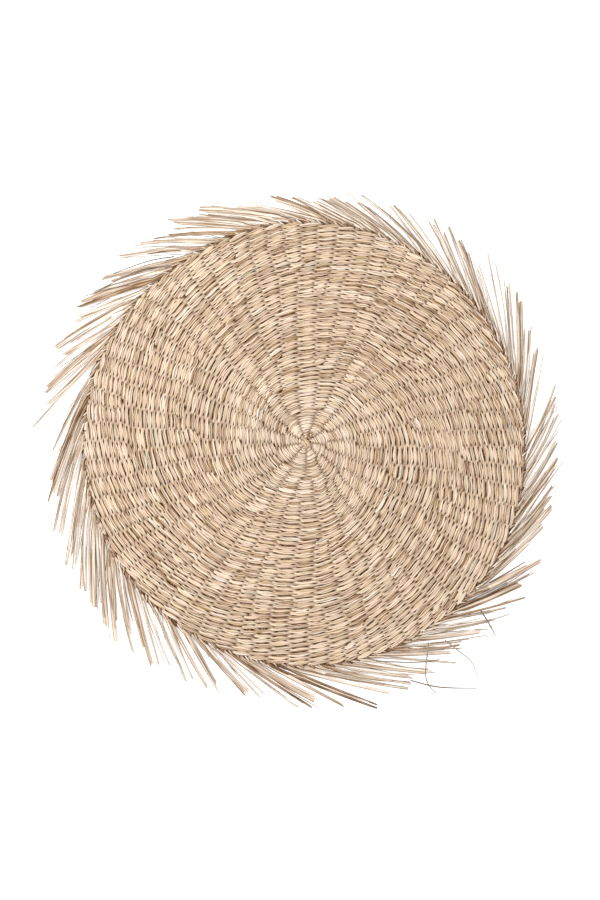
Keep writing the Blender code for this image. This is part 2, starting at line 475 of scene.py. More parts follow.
def new_tree(name, sizes):
    """A tree with one geometry in and out, and one named input for each (label, socket kind, value)."""
    tree = bpy.data.node_groups.new(name, "GeometryNodeTree")
    tree.interface.new_socket("Rails", in_out="INPUT", socket_type="NodeSocketGeometry")
    tree.interface.new_socket("Strands", in_out="OUTPUT", socket_type="NodeSocketGeometry")
    for label, kind, value in sizes:
        socket = tree.interface.new_socket(label, in_out="INPUT", socket_type="NodeSocket" + kind)
        if value is not None:
            socket.default_value = value
    return tree, add(tree, "NodeGroupInput").outputs, add(tree, "NodeGroupOutput").inputs


def end_tree(tree, given, result, geometry):
    """The end of every tree: a mesh of its own instead of instances, with the finish on it."""
    real = add(tree, "GeometryNodeRealizeInstances", {"Geometry": geometry}).outputs[0]
    dressing = {"Geometry": real, "Material": given["Material"]}
    finish = add(tree, "GeometryNodeSetMaterial", dressing).outputs[0]
    tree.links.new(finish, result[0])


def number(tree, name):
    """The rail's number of this name."""
    return add(tree, "GeometryNodeInputNamedAttribute", {"Name": name}).outputs["Attribute"]


# %% Geometry Nodes tree: sweep a section along every curve
SHARPEST_BEND = math.radians(36)
PRESSED = 0.6


def sweep_tree():
    """Sweeps a section of radius 1 along the curves, then moves each point to where the numbers want it."""
    tree, given, result = new_tree("sweep_section_along_rails", STRAND_SIZES)
    work = partial(calc, tree)
    upright = add(tree, "GeometryNodeSetCurveNormal", {"Curve": given["Rails"]}, mode="Z_UP").outputs[0]
    tilt = {"Curve": upright, "Tilt": number(tree, "roll")}
    rolled = add(tree, "GeometryNodeSetCurveTilt", tilt).outputs[0]
    keep = add(tree, "GeometryNodeCaptureAttribute", {"Geometry": rolled})
    position = add(tree, "GeometryNodeInputPosition").outputs[0]
    for kind, label, source in (
        ("VECTOR", "centre", position),
        ("VECTOR", "normal", add(tree, "GeometryNodeInputNormal").outputs[0]),
        ("VECTOR", "tangent", add(tree, "GeometryNodeInputTangent").outputs[0]),
        ("FLOAT", "length", add(tree, "GeometryNodeSplineParameter").outputs["Length"]),
    ):
        keep.capture_items.new(kind, label)
        tree.links.new(source, keep.inputs[label])
    circle = add(tree, "GeometryNodeCurvePrimitiveCircle", {"Resolution": given["Sides"], "Radius": 1.0})
    section = add(tree, "GeometryNodeCaptureAttribute", {"Geometry": circle.outputs[0]})
    section.capture_items.new("VECTOR", "corner")
    tree.links.new(position, section.inputs["corner"])
    corner = section.outputs["corner"]
    swept = add(
        tree,
        "GeometryNodeCurveToMesh",
        {"Curve": keep.outputs[0], "Profile Curve": section.outputs[0], "Fill Caps": True},
    ).outputs[0]
    turned = {"Vector": corner, "Angle": number(tree, "spin")}
    spun = add(tree, "ShaderNodeVectorRotate", turned, rotation_type="Z_AXIS").outputs[0]
    across = add(tree, "ShaderNodeSeparateXYZ", {0: spun}).outputs
    # Strands that lie tight against each other are pressed into soft boxes: full on top, with steep sides.
    share = work("ABSOLUTE", across["X"])
    pressed = work("DIVIDE", work("MULTIPLY", work("POWER", share, PRESSED), across["X"]), share)
    wide = work("MULTIPLY", pressed, number(tree, "half_width"))
    thick = work("MULTIPLY", across["Y"], number(tree, "half_thickness"))
    # A leaf is folded along its middle like a gutter, so its edges stand higher than its middle.
    thick = work("MULTIPLY_ADD", work("ABSOLUTE", wide), number(tree, "fold"), thick)
    oblique = work("MULTIPLY", wide, number(tree, "slant"))
    normal, tangent = keep.outputs["normal"], keep.outputs["tangent"]
    over = work("CROSS_PRODUCT", tangent, normal, kind="ShaderNodeVectorMath")
    place = keep.outputs["centre"]
    for arrow, distance in ((normal, wide), (over, thick), (tangent, oblique)):
        moved = add(tree, "ShaderNodeVectorMath", {0: arrow, "Scale": distance}, operation="SCALE").outputs[0]
        place = work("ADD", place, moved, kind="ShaderNodeVectorMath")
    placed = add(tree, "GeometryNodeSetPosition", {"Geometry": swept, "Position": place}).outputs[0]
    # The pattern's place: the length along the strand, then the corner of the section before it was turned.
    shifted = work("ADD", keep.outputs["length"], number(tree, "shift"))
    plain = add(tree, "ShaderNodeSeparateXYZ", {0: corner}).outputs
    fibre = add(tree, "ShaderNodeCombineXYZ", {"X": shifted, "Y": plain["X"], "Z": plain["Y"]}).outputs[0]
    stored = add(
        tree,
        "GeometryNodeStoreNamedAttribute",
        {"Geometry": placed, "Name": "fibre", "Value": fibre},
        data_type="FLOAT_VECTOR",
        domain="POINT",
    ).outputs[0]
    # A leaf is smooth along its length, but its folds stay sharp.
    bend = add(tree, "GeometryNodeInputMeshEdgeAngle").outputs["Unsigned Angle"]
    shading = {"Geometry": stored, "Shade Smooth": work("LESS_THAN", bend, SHARPEST_BEND)}
    end_tree(tree, given, result, add(tree, "GeometryNodeSetShadeSmooth", shading, domain="EDGE").outputs[0])
    return tree


sweep = sweep_tree()
print("sweep tree:", len(sweep.nodes), "nodes")

# %% [markdown]
# ## Growing a piece
#
# A tree runs as a modifier on a rail. The library wants plain meshes, so the result is copied to a mesh of
# its own and the rail goes. For stakes, blades and hairs it is enough to turn the rails into curves and
# sweep them. The wefts get a tree of their own below, which bends the curves first and then sweeps them too.

# %% Run a tree on a rail and keep its result as a plain mesh
def end_with_sweep(tree, given, result, curve):
    """Send the curves through the sweep and end the tree."""
    swept = add(tree, "GeometryNodeGroup", node_tree=sweep)
    tree.links.new(curve, swept.inputs["Rails"])
    for label, _, _ in STRAND_SIZES:
        tree.links.new(given[label], swept.inputs[label])
    end_tree(tree, given, result, swept.outputs[0])


plain_sweep, given, result = new_tree("sweep_rails", STRAND_SIZES)
curves = add(plain_sweep, "GeometryNodeMeshToCurve", {"Mesh": given["Rails"]}).outputs[0]
end_with_sweep(plain_sweep, given, result, curves)


def grow(rail, name, tree, settings, finish):
    """A finished piece from a rail. The rail and its modifier are removed."""
    modifier = rail.modifiers.new("grow", "NODES")
    modifier.node_group = tree
    sockets = {s.name: s.identifier for s in tree.interface.items_tree if s.in_out == "INPUT"}
    for label, value in {**settings, "Material": finish}.items():
        modifier[sockets[label]] = value
    graph = bpy.context.evaluated_depsgraph_get()
    mesh = bpy.data.meshes.new_from_object(rail.evaluated_get(graph), depsgraph=graph)
    mesh.name = name
    piece = bpy.data.objects.new(name, mesh)
    bpy.context.scene.collection.objects.link(piece)
    bpy.data.objects.remove(rail, do_unlink=True)
    mesh.calc_loop_triangles()
    print(f"{name}: {len(mesh.loop_triangles)} triangles")
    return piece


print("plain tree:", len(plain_sweep.nodes), "nodes")

# %% [markdown]
# ## Twining
#
# Seen along a row, each weft is a wave: over one stake, under the next. Seen from above it sways as well,
# because the two wefts pass each other between the stakes, always the same way round. Both could be drawn
# into the rail, point by point, but then its sizes would be buried in a mesh. As a tree they are inputs.
# `passing` counts the stakes along the rail, so the wave is a cosine of it and the sway a sine. The second
# weft runs on the same rail, one stake later. Each weft is grown twice, once for each of its two leaves.

# %% Sizes of a twined weft, and the waves that its path and its section share
TWINE_SIZES = (
    ("Stakes late", "Float", 0.0),
    ("Leaf side", "Float", 1.0),
    ("Rise", "Float", 1.95 * MM),
    ("Sway", "Float", 1.08 * MM),
    ("Half width on a stake", "Float", 2.12 * MM),
    ("Half thickness on a stake", "Float", 1.0 * MM),
    ("Half width at a crossing", "Float", 1.14 * MM),
    ("Half thickness at a crossing", "Float", 1.3 * MM),
    ("Crossing raised", "Float", 0.95 * MM),
    ("Leaf width share", "Float", 0.58),
    ("Leaf distance share", "Float", 0.43),
    ("Unevenness", "Float", 0.2),
    ("Seed", "Int", 1),
    *STRAND_SIZES,
)
Weave = namedtuple("Weave", "tree given work chance room flat sine lift")


def shared_waves(tree, given):
    """What both the path and the section of a weft are worked out from."""
    work = partial(calc, tree)
    passed = work("ADD", number(tree, "passing"), given["Stakes late"])
    stitch = work("ROUND", passed)
    cosine = work("COSINE", work("MULTIPLY", passed, math.pi))
    sine = work("SINE", work("MULTIPLY", passed, -math.pi))
    # 1 on a stake and 0 where the wefts cross.
    flat = work("MULTIPLY", cosine, cosine)

    def chance(offset, own=False):
        """A number from -1 to 1 for each stitch, or for each leaf of it, that fades out between stitches."""
        seed = work("ADD", given["Seed"], offset)
        if own:
            seed = work("MULTIPLY_ADD", given["Leaf side"], 500.0, seed)
        drawn = add(tree, "FunctionNodeRandomValue", {"Min": -1.0, "Max": 1.0, "ID": stitch, "Seed": seed})
        return work("MULTIPLY", drawn.outputs["Value"], flat)

    # The wave is flatter on top than a cosine, because a pair of stakes is wide.
    lift = work("MULTIPLY", work("SIGN", cosine), work("POWER", work("ABSOLUTE", cosine), 0.6))
    by_chance = work("MULTIPLY", given["Unevenness"], 0.5)
    lift = work("MULTIPLY", lift, work("MULTIPLY_ADD", chance(20), by_chance, 1.0))
    return Weave(tree, given, work, chance, number(tree, "room"), flat, sine, lift)


print(len(TWINE_SIZES), "inputs for the twine tree")

# %% [markdown]
# ## Section and path of a weft
#
# On top of a stake a strand is pressed wide and flat. Between two stakes its partner pinches it to half the
# width. Where the rows are close, as round the hub, it has less room and is thinner. No two stitches of a
# real mat are equal, so each draws a little chance from a fixed seed.

# %% Geometry Nodes tree: make a rail rise, sway and change its section like a twined weft
def weft_section(weave):
    """Half width of the weft, and half thickness."""
    _, given, work, chance, room, flat, _, lift = weave

    def from_crossing_to_stake(size, share):
        """This size of the weft, from the one at a crossing to the one on a stake."""
        at_crossing, on_stake = given[size + " at a crossing"], given[size + " on a stake"]
        return work("MULTIPLY_ADD", work("SUBTRACT", on_stake, at_crossing), share, at_crossing)

    width = from_crossing_to_stake("Half width", work("POWER", flat, 0.95))
    snug = work("MULTIPLY_ADD", room, -0.5, 1.5)
    snug = work("MULTIPLY_ADD", chance(0), given["Unevenness"], snug)
    width = work("MULTIPLY", work("MULTIPLY", width, room), snug)
    # Underneath, the strands spread and close the mat, so that nothing of the table shows through.
    width = work("MULTIPLY", width, work("MULTIPLY_ADD", work("SUBTRACT", 1.0, lift), 0.17, 1.0))
    thickness = from_crossing_to_stake("Half thickness", flat)
    return width, work("MULTIPLY", thickness, work("MULTIPLY_ADD", room, 1.1, -0.1))


def weft_offset(weave, width):
    """How far the weft lies above and beside its rail, as a vector."""
    tree, given, work, chance, room, flat, sine, lift = weave
    rise = work("MULTIPLY", work("MULTIPLY", lift, given["Rise"]), work("MULTIPLY_ADD", room, 0.55, 0.45))
    # Round the hub the strands are thinner and sink deeper between the stakes.
    roomy = add(tree, "ShaderNodeMapRange", {0: room, 1: 0.66, 2: 1.0, 3: 0.15, 4: 1.0}).outputs[0]
    raised = work("MULTIPLY", given["Crossing raised"], roomy)
    rise = work("MULTIPLY_ADD", work("SUBTRACT", 1.0, flat), raised, rise)
    rise = work("MULTIPLY_ADD", chance(100, own=True), 0.18 * MM, rise)
    sway = work("MULTIPLY", work("MULTIPLY", sine, given["Sway"]), room)
    sway = work("MULTIPLY_ADD", chance(40), work("MULTIPLY", given["Unevenness"], 2.2 * MM), sway)
    # The two leaves of the weft lie to the left and the right of its middle.
    apart = work("MULTIPLY", work("MULTIPLY", given["Leaf side"], given["Leaf distance share"]), width)
    tangent = add(tree, "GeometryNodeInputTangent").outputs[0]
    side = work("CROSS_PRODUCT", tangent, (0, 0, 1), kind="ShaderNodeVectorMath")
    sideways = {0: side, "Scale": work("ADD", sway, apart)}
    aside = add(tree, "ShaderNodeVectorMath", sideways, operation="SCALE").outputs[0]
    upward = add(tree, "ShaderNodeCombineXYZ", {"Z": rise}).outputs[0]
    return work("ADD", aside, upward, kind="ShaderNodeVectorMath")


for label, _, value in TWINE_SIZES[2:4]:
    print(f"{label.lower()} of a weft: {value / MM:.2f} mm")

# %% Put section and path together and sweep the leaf
def twine_tree():
    """Bends the rail's curve into a twined weft, then sweeps one of its leaves along it."""
    tree, given, result = new_tree("twine_wefts_round_stakes", TWINE_SIZES)
    weave = shared_waves(tree, given)
    work, chance = weave.work, weave.chance
    width, thickness = weft_section(weave)
    offset = weft_offset(weave, width)
    leaf_width = work("MULTIPLY", width, given["Leaf width share"])
    # Where the rows are tight, round the hub, the leaves are made paler.
    paler = work("MULTIPLY_ADD", work("SUBTRACT", 1.0, weave.room), 0.38, number(tree, "tone"))
    changed = {
        "half_width": work("MULTIPLY", leaf_width, work("MULTIPLY_ADD", chance(120, own=True), 0.15, 1.0)),
        "half_thickness": thickness,
        "spin": work("MULTIPLY", chance(60, own=True), 0.3),
        "tone": work("MULTIPLY_ADD", chance(80, own=True), 0.07, paler),
    }
    curve = add(tree, "GeometryNodeMeshToCurve", {"Mesh": given["Rails"]}).outputs[0]
    for name, value in changed.items():
        stored = {"Geometry": curve, "Name": name, "Value": value}
        kept = add(tree, "GeometryNodeStoreNamedAttribute", stored, data_type="FLOAT", domain="POINT")
        curve = kept.outputs[0]
    curve = add(tree, "GeometryNodeSetPosition", {"Geometry": curve, "Offset": offset}).outputs[0]
    end_with_sweep(tree, given, result, curve)
    return tree


twine = twine_tree()
print("twine tree:", len(twine.nodes), "nodes")

# %% [markdown]
# ## The route of the wefts
#
# The wefts leave the hub and pass every stake once a turn, moving out by one row a turn. Sorting all the
# passings by how far round they lie puts them in the order in which the maker meets them. Between two
# passings the route gets a few more points, so that the wave has something to bend.

# %% Sort the passings
POINTS_PER_STITCH = 6
SLIP = 0.08
START_TURN = 1.3


def passings():
    """How many turns round each meeting of weft and stake lies, in order."""
    met_rng = np.random.default_rng(17)
    met = []
    for first_row, turns in stakes:
        for row in range(len(turns)):
            here = turns[row]
            ahead = turns[min(row + 1, len(turns) - 1)]
            radius = row_radius(first_row + row)
            slip = met_rng.normal(0, SLIP) * stitch_length(first_row + row) / (2 * math.pi * radius)
            slip *= np.clip((radius - 10 * MM) / (60 * MM), 0.15, 1)
            met.append(first_row + row + here + (ahead - here) * (here % 1) + slip)
    met = np.sort(met)
    return met[(met > START_TURN) & (met < END_TURN + CLOSING_TURNS)]


print(len(passings()), "passings of a weft and a stake")

# %% Tones and points along the route
ODD_LEAVES = 0.07
ANY_TONE = (0.08, 1.0)
USUAL_TONES = (0.45, 0.7)


def leaf_tones(lengths, seed, shortest, longest):
    """A tone for each point of a strand: a new leaf is spliced in every so often."""
    tone_rng = np.random.default_rng(seed)
    tones = np.empty(len(lengths))
    ends = 0.0
    tone = 0.5
    for i, length in enumerate(lengths):
        if length >= ends:
            odd_one = tone_rng.random() < ODD_LEAVES
            tone = tone_rng.uniform(*(ANY_TONE if odd_one else USUAL_TONES))
            ends = length + tone_rng.uniform(shortest, longest)
        tones[i] = tone
    return tones


def weft_course(seed, shift):
    """The rail that one leaf of a weft follows, from the hub to the end of the spiral."""
    met = passings()
    steps = np.arange((len(met) - 1) * POINTS_PER_STITCH + 1) / POINTS_PER_STITCH
    turns = np.interp(steps, np.arange(len(met)), met)
    x, y = on_mat(turns, turns)
    points = np.stack([x, y, np.full_like(x, MIDDLE)], axis=1)
    lengths = np.concatenate([[0], np.cumsum(np.linalg.norm(np.diff(points, axis=0), axis=1))])
    tail = np.clip((END_TURN + CLOSING_TURNS - turns) / CLOSING_TURNS, 0.1, 1.0)
    room = row_pitch(turns) / FULL_PITCH * np.clip(row_radius(turns) / (8 * MM), 0.5, 1.0) * tail
    return {
        "points": points,
        "passing": steps,
        "room": room,
        "tone": leaf_tones(lengths, seed, 40 * MM, 220 * MM),
        "shift": shift,
    }


print(f"{ODD_LEAVES:.0%} of the leaves that are spliced in have an odd tone")

# %% Grow the four leaves of the two wefts
wefts = []
for late, weft in enumerate(("first", "second")):
    for leaf, side in (("outer", 1.0), ("inner", -1.0)):
        seed = 21 + 2 * late + int(side > 0)
        rail = rails(f"weft_{weft}_{leaf}_rail", [weft_course(seed, 50.0 * seed)])
        settings = {"Stakes late": float(late), "Leaf side": side, "Seed": 5 + 1000 * late}
        wefts.append(grow(rail, f"weft_{weft}_{leaf}_leaf", twine, settings, twined_seagrass))

# %% [markdown]
# ## The stakes
#
# Each stake of the real mat is a pair of strands side by side. They are hidden but for the slits between the
# stitches, so a few sides are enough.

# %% Grow the stakes
STAKE_HALF_WIDTH = 1.05 * MM
STAKE_HALF_THICKNESS = 0.95 * MM


def stake_courses():
    """The rails of the two strands of each stake. One that starts in the last row has no length yet."""
    courses = []
    stake_rng = np.random.default_rng(31)
    for first_row, turns in stakes:
        if len(turns) < 2:
            continue
        rows = np.arange(len(turns)) + float(first_row)
        route = np.stack(on_mat(rows, turns), axis=1)
        along = np.gradient(route, axis=0)
        along /= np.linalg.norm(along, axis=1)[:, None]
        to_the_left = np.stack([-along[:, 1], along[:, 0]], axis=1)
        for side in (-1, 1):
            shift_by = side * STAKE_HALF_WIDTH * np.clip(rows / 6, 0.2, 1)[:, None]
            strand = route + to_the_left * shift_by
            courses.append(
                {
                    "points": np.column_stack([strand, np.full(len(strand), MIDDLE)]),
                    "half_width": STAKE_HALF_WIDTH,
                    "half_thickness": STAKE_HALF_THICKNESS,
                    "tone": stake_rng.uniform(0.1, 0.8),
                    "shift": stake_rng.uniform(100, 400),
                }
            )
    return courses


stake_rails = rails("stake_rails", stake_courses())
stake_piece = grow(stake_rails, "stakes", plain_sweep, {"Sides": 6}, twined_seagrass)

# %% [markdown]
# ## The hub
#
# The first stakes are long strands that cross at the hub, so each of them is two spokes. A short strand bound
# over the crossing holds them together and shows as a small knob. Beside it the cut end of a leaf has curled.

# %% Cross the first strands and bind the knob
hub_rng = np.random.default_rng(23)
HUB_REACH = 6.5


def arch(start, end, top, foot, count, **numbers):
    """A strand from start to end that rises from foot to top on its way. Places are in millimetres."""
    share = np.linspace(0, 1, count)
    x = start[0] + (end[0] - start[0]) * share
    y = start[1] + (end[1] - start[1]) * share
    z = foot + (top - foot) * np.sin(math.pi * share) ** 0.7
    points = np.column_stack([x, y, z]) * MM
    return {"points": points, "tone": 0.6, "shift": hub_rng.uniform(1000, 1400), **numbers}


hub_courses = []
for layer in range(HUB_STAKES // 2):
    turn = 2 * math.pi * (stakes[layer][1][0] + stakes[layer + HUB_STAKES // 2][1][0] - 0.5) / 2
    x, y = HUB_REACH * math.cos(turn), HUB_REACH * math.sin(turn)
    sizes = {"half_width": 1.7 * MM, "half_thickness": 0.8 * MM, "tone": 0.4}
    hub_courses.append(arch((-x, -y), (x, y), 1.5 + 0.8 * layer, 3.0, 9, **sizes))
hub_courses.append(arch((-5.4, 2.2), (5.2, -3.4), 4.3, 2.6, 11, half_width=2.2 * MM, half_thickness=0.9 * MM))
# The binding goes twice one way and twice the other: (start, end, height of the top, tone).
BINDING = (
    ((-4.4, -2.4), (3.8, 2.6), 4.7, 0.3),
    ((-3.2, -4.8), (5.0, 0.2), 4.7, 0.5),
    ((-3.6, 2.2), (1.4, -5.2), 5.4, 0.42),
    ((-0.8, 3.6), (4.2, -3.8), 5.4, 0.3),
)
for start, end, top, tone in BINDING:
    turn = arch(start, end, top, 2.4, 13, half_width=0.0, half_thickness=0.95 * MM, tone=tone)
    turn["half_width"] = 1.3 * MM * np.sin(np.linspace(0.3, math.pi - 0.3, 13)) ** 0.7
    hub_courses.append(turn)
curl = np.linspace(0, 1.9 * math.pi, 13)
curl_x, curl_y = 3.3 + 1.9 * np.cos(curl), 6.8 + 1.9 * np.sin(curl)
hub_courses.append(
    {
        "points": np.column_stack([curl_x, curl_y, 5.3 + 0.03 * curl]) * MM,
        "half_width": 0.6 * MM,
        "half_thickness": 0.7 * MM,
        "shift": 1500.0,
    }
)
hub_piece = grow(rails("hub_rails", hub_courses), "hub_knob", plain_sweep, {"Sides": 10}, twined_seagrass)

# %% [markdown]
# ## Border and fringe
#
# Beyond the last row every stake end is turned aside, laid over the next ends and left hanging out. So the
# border is nothing but the beginnings of the blades. The blades were combed and cut in locks: the blades of a
# lock lean together at their tips. The table gives, for each lock, where it starts, how far it sweeps, how
# far it reaches beyond the woven field, and how full it is.

# %% The locks of the fringe
Lock = namedtuple("Lock", "start_degrees sweep_degrees reach_mm fullness")
LOCK_NUMBERS = (
    (0.0, 14.3, 25.0, 0.6), (7.5, 14.0, 26.0, 0.5), (12.0, 15.5, 28.5, 0.6), (21.0, 15.0, 30.0, 0.2),
    (27.5, 13.5, 22.0, 0.3), (34.5, 13.7, 27.5, 0.9), (41.5, 13.0, 28.5, 0.8), (48.0, 14.0, 25.5, 0.5),
    (56.0, 14.5, 22.5, 0.7), (65.5, 12.7, 21.0, 1.0), (72.5, 10.7, 17.5, 1.0), (79.5, 10.0, 19.5, 0.9),
    (86.0, 13.0, 20.5, 0.9), (94.0, 14.2, 28.5, 1.2), (107.0, 12.0, 24.0, 0.5), (112.0, 12.2, 31.5, 1.0),
    (122.5, 12.8, 28.5, 0.5), (127.5, 12.0, 31.0, 1.3), (141.0, 12.6, 31.0, 1.2), (153.5, 14.0, 33.5, 0.6),
    (160.0, 16.0, 24.0, 0.5), (168.5, 16.2, 29.0, 0.8), (175.5, 16.4, 30.0, 0.8), (184.0, 15.0, 31.5, 0.7),
    (195.5, 14.0, 32.5, 0.9), (205.0, 13.2, 35.5, 1.3), (212.5, 11.8, 32.5, 1.2), (223.0, 11.0, 31.0, 0.5),
    (232.0, 11.0, 31.0, 0.8), (240.0, 12.6, 29.5, 0.8), (248.0, 13.2, 28.0, 0.5), (252.0, 14.2, 28.7, 1.0),
    (260.5, 16.4, 35.0, 0.7), (266.5, 16.2, 30.0, 0.8), (275.5, 13.2, 28.0, 1.0), (283.5, 11.5, 30.0, 0.5),
    (289.5, 13.0, 28.5, 1.0), (299.5, 12.0, 31.0, 1.0), (311.5, 12.2, 28.0, 1.3), (320.5, 12.6, 20.0, 0.8),
    (327.0, 13.8, 25.5, 1.0), (338.5, 11.6, 25.0, 1.0), (344.5, 10.4, 23.5, 0.7), (350.5, 10.8, 27.0, 0.9),
)
LOCKS = [Lock(*numbers) for numbers in LOCK_NUMBERS]
STAKE_ENDS = 2 * STAKE_PAIRS
# How much of their distance at the root the blades of a lock keep at their tips, and how close pairs lie.
GATHER = 0.82
PAIRING = 0.6


def lock_of(degrees):
    """The lock that a root in this direction belongs to, and the direction of the lock's middle."""
    starts = [lock.start_degrees for lock in LOCKS] + [360 + LOCKS[0].start_degrees]
    index = max(i for i, lock in enumerate(LOCKS) if lock.start_degrees <= degrees % 360)
    return LOCKS[index], (starts[index] + starts[index + 1]) / 2


def smooth_through(places, count):
    """Evenly spaced points on a smooth line through a few places."""
    places = np.array(places, float)
    reach = np.concatenate([[0], np.cumsum(np.linalg.norm(np.diff(places, axis=0), axis=1))])
    slopes = np.gradient(places, reach, axis=0)
    wanted = np.linspace(0, reach[-1], count)
    i = np.clip(np.searchsorted(reach, wanted, side="right") - 1, 0, len(places) - 2)
    span = (reach[i + 1] - reach[i])[:, None]
    t = (wanted[:, None] - reach[i][:, None]) / span
    return (
        (2 * t**3 - 3 * t**2 + 1) * places[i]
        + (t**3 - 2 * t**2 + t) * span * slopes[i]
        + (3 * t**2 - 2 * t**3) * places[i + 1]
        + (t**3 - t**2) * span * slopes[i + 1]
    )


def round_the_rim(degrees, beyond, height):
    """A place given by its direction, its distance beyond the woven field and its height."""
    radius = rim(degrees / 360) + beyond
    turn = math.radians(degrees)
    return (radius * math.cos(turn), radius * math.sin(turn), height)


print(len(LOCKS), "locks for", STAKE_ENDS, "stake ends")

# %% [markdown]
# ## Blades
#
# In the border a stake end is still round and gathered. Outside it opens into a flat leaf, widest near its
# foot and narrowing to a tip that was cut obliquely. A leaf folds like a gutter along its middle, which is
# why one half of it lies in shade. Each end may also carry a second, narrower leaf and a hair. A hair system
# could fill the rim quickly, but the blades of a woven mat each start at a stake, so each gets a rail.

# %% The rail of a blade
Blade = namedtuple("Blade", "lengths sweep_spread reach_spread sunk brown_share widths border_share")
MAIN_LEAF = Blade((0.92, 1.31), 0.4, 0.8, 0.0, 0.12, (0.7, 1.5, 2.9), 1.0)
SECOND_LEAF = Blade((0.75, 1.27), 1.0, 1.5, 0.6, 0.25, (0.3, 0.5, 1.0), 0.7)
HAIR = Blade((0.7, 1.25), 1.6, 2.0, 1.0, 0.3, (0.24, 0.3, 0.42), 0.3)
BORDER_HALF = 1.15 * MM
BORDER_WIDTH = 3.2 * MM
POINTS_PER_BLADE = 20
BROWNEST = 0.12
OPENS_AT = 0.17
CUT_FROM = 0.93
blade_rng = np.random.default_rng(41)


def leaf_tone(brown_share):
    """The tone of a leaf. A part of them are brown, the others run from straw to cream."""
    brown = blade_rng.random() < brown_share
    return blade_rng.uniform(0, BROWNEST) if brown else blade_rng.uniform(0.25, 0.95)


def blade_places(degrees, blade):
    """The places that a blade passes, from under its neighbours in the border to its tip."""
    lock, middle = lock_of(degrees)
    degrees = degrees % 360
    length = blade_rng.uniform(*blade.lengths)
    tip = middle + lock.sweep_degrees + (degrees - middle) * GATHER
    sweep_left = (tip - degrees + 1.0) * length + blade_rng.normal(0, blade.sweep_spread)
    beyond = lock.reach_mm * MM * length + blade_rng.normal(0, blade.reach_spread) * MM
    level = 0.35 * MM + blade_rng.uniform(0, 2.0) * MM
    root = np.array(round_the_rim(degrees, BORDER_WIDTH, 0))
    reach = np.array(round_the_rim(degrees + sweep_left, beyond, 0)) - root
    onwards = reach / np.linalg.norm(reach)
    outwards = np.array([math.cos(math.radians(degrees)), math.sin(math.radians(degrees)), 0])
    along = np.array([-outwards[1], outwards[0], 0])
    bow = blade_rng.normal(0.9, 0.9) * MM
    sunk = blade.sunk * MM
    return [
        root - 12.5 * MM * along - 5.0 * MM * outwards + (0, 0, 2.0 * MM),
        root - 8.5 * MM * along - 2.9 * MM * outwards + (0, 0, 3.2 * MM - sunk),
        root - 4.0 * MM * along - 1.0 * MM * outwards + (0, 0, 4.2 * MM - sunk),
        root + (0, 0, 4.0 * MM - sunk),
        root + 5.0 * MM * onwards + 0.4 * bow * outwards + (0, 0, 3.3 * MM - sunk),
        root + 0.4 * reach + bow * outwards + (0, 0, level + 0.5 * MM),
        root + 0.7 * reach + 0.8 * bow * outwards + (0, 0, level),
        root + reach + (0, 0, level),
    ]


print("the longest lock reaches", max(lock.reach_mm for lock in LOCKS), "mm beyond the woven field")

# %% The numbers along a blade
def blade_course(degrees, blade):
    """The rail of one blade, round and gathered in the border and open outside it."""
    points = smooth_through(blade_places(degrees, blade), POINTS_PER_BLADE)
    share = np.linspace(0, 1, POINTS_PER_BLADE)
    tone = leaf_tone(blade.brown_share)
    # The brown leaves are the inner ones of the plant, which are narrower.
    full = (0.35 + 0.65 * lock_of(degrees)[0].fullness) * (1.0 if tone > BROWNEST else 0.7)
    widest = blade_rng.triangular(*blade.widths) * MM * full
    opened = np.clip((share - OPENS_AT) / 0.1, 0, 1)
    closed = (1 - opened) * blade.border_share
    half_width = (BORDER_HALF * closed + widest * opened) * (1 - blade_rng.uniform(0.05, 0.4) * share**2)
    half_width[-1] *= 0.9
    return {
        "points": points,
        "half_width": half_width,
        "half_thickness": (0.85 * closed + 0.16 * opened) * MM,
        "slant": np.where(share > CUT_FROM, blade_rng.uniform(-1.6, 2.2), 0.0),
        "fold": opened * blade_rng.uniform(-0.12, 0.12),
        "roll": opened * blade_rng.normal(0, 0.1),
        "tone": tone * (opened + (1 - opened) * blade_rng.uniform(0.1, 1.0)),
        "shift": blade_rng.uniform(500, 900),
    }


print(f"a blade opens {OPENS_AT:.0%} of the way along and is cut from {CUT_FROM:.0%} on")

# %% A blade for each stake end, and for some a second leaf and a hair
main_leaves, second_leaves, hair_courses = [], [], []
for end in range(STAKE_ENDS):
    # The two ends of a pair lie close together.
    degrees = (end - PAIRING * 0.5 * (end % 2)) * 360 / STAKE_ENDS
    main_leaves.append(blade_course(degrees + blade_rng.normal(0, 0.25), MAIN_LEAF))
    if blade_rng.random() < lock_of(degrees)[0].fullness:
        second_leaves.append(blade_course(degrees + 0.7 + blade_rng.normal(0, 0.4), SECOND_LEAF))
    if blade_rng.random() < 0.6:
        hair_courses.append(blade_course(degrees + 0.3 + blade_rng.normal(0, 0.8), HAIR))
print(len(main_leaves), "leaves,", len(second_leaves), "second leaves,", len(hair_courses), "hairs")

# %% [markdown]
# ## The edge of the border
#
# Each stake end is tied down by a leaf of the next one, which shows as a small slanted loop. The ends that
# were tucked under run round beneath the loops. They get the darkest brown tone, which paints the shade in
# the notches between the loops as a dark line. On one side a brown leaf lies along the edge. All of them are
# strands through a few places, like the blades, and join them in one piece.

# %% Loops, the brown leaf and the tucked ends
def edge_strand(places, count, half_width, tone):
    """A strand of the border through these places, narrower at both ends."""
    return {
        "points": smooth_through(places, count),
        "half_width": half_width * (1 - 0.5 * np.linspace(-1, 1, count) ** 6),
        "half_thickness": 0.55 * MM,
        "tone": tone,
        "shift": blade_rng.uniform(500, 900),
    }


